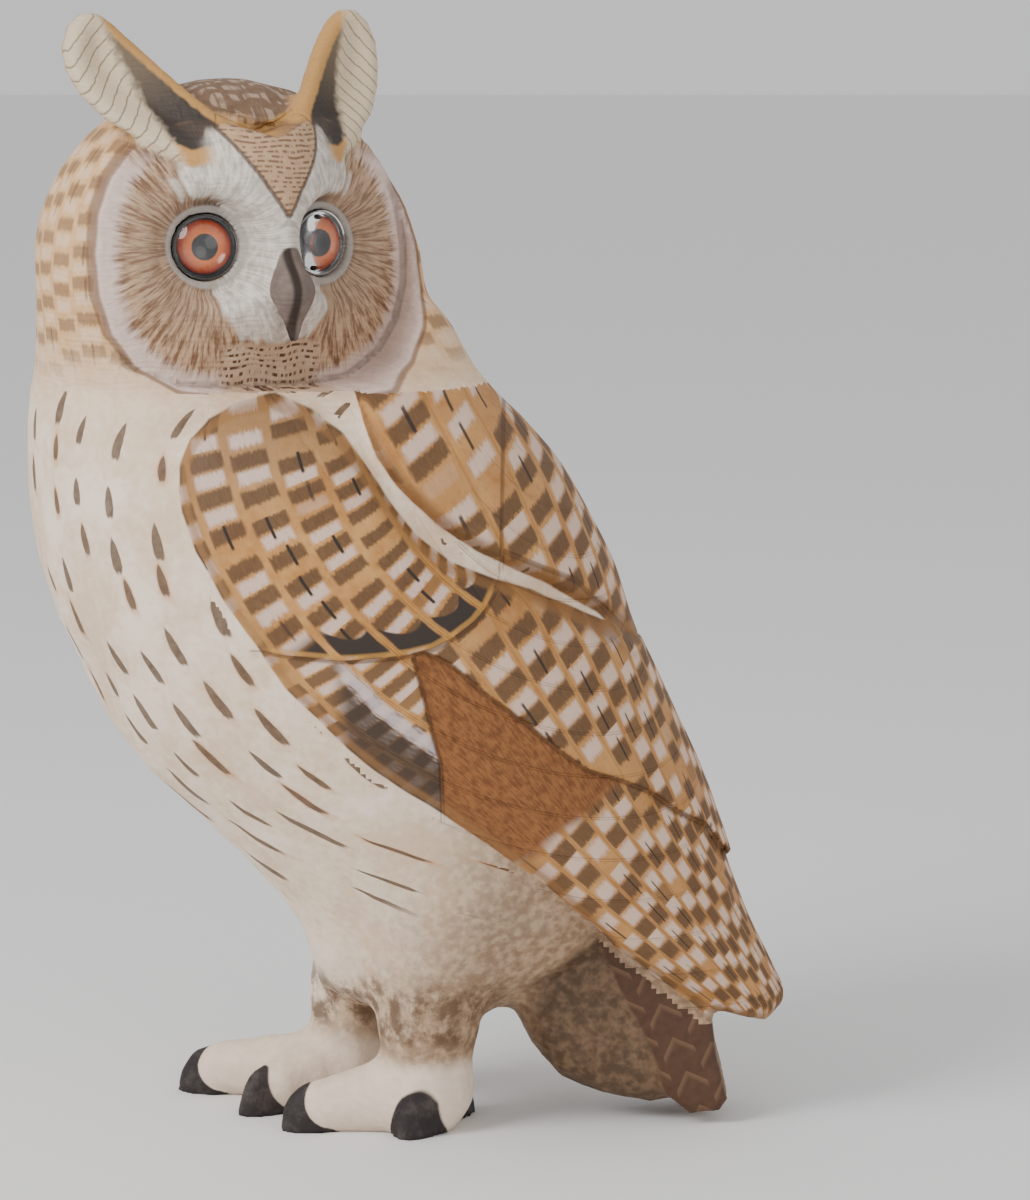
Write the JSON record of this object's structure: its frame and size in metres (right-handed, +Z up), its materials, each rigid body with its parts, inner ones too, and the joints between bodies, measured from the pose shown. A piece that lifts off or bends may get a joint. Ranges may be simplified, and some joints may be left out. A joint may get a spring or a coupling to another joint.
{
  "type": "carved wooden owl figure",
  "caption": "Standing long-eared owl carved in wood and painted, with its head turned over its left shoulder and glass eyes set in; stands by its own weight on its feet as an ornament.",
  "frame": {"origin": "on the ground, under the middle of the whole length and width", "axes": "+Z up, -Y the way the breast and the front toes point, +X the owl's left, which is the side the face is turned to"},
  "size_m": [0.1253, 0.1891, 0.2773],
  "materials": {
    "painted_wood": "knife-carved wood, painted by hand in thin matt colours with a faint sheen",
    "eye_glass": "polished clear glass over an orange iris and a black pupil"
  },
  "bodies": {
    "root": {"owl_body": "painted_wood", "eye_left": "eye_glass", "eye_right": "eye_glass"}
  },
  "joints": []
}
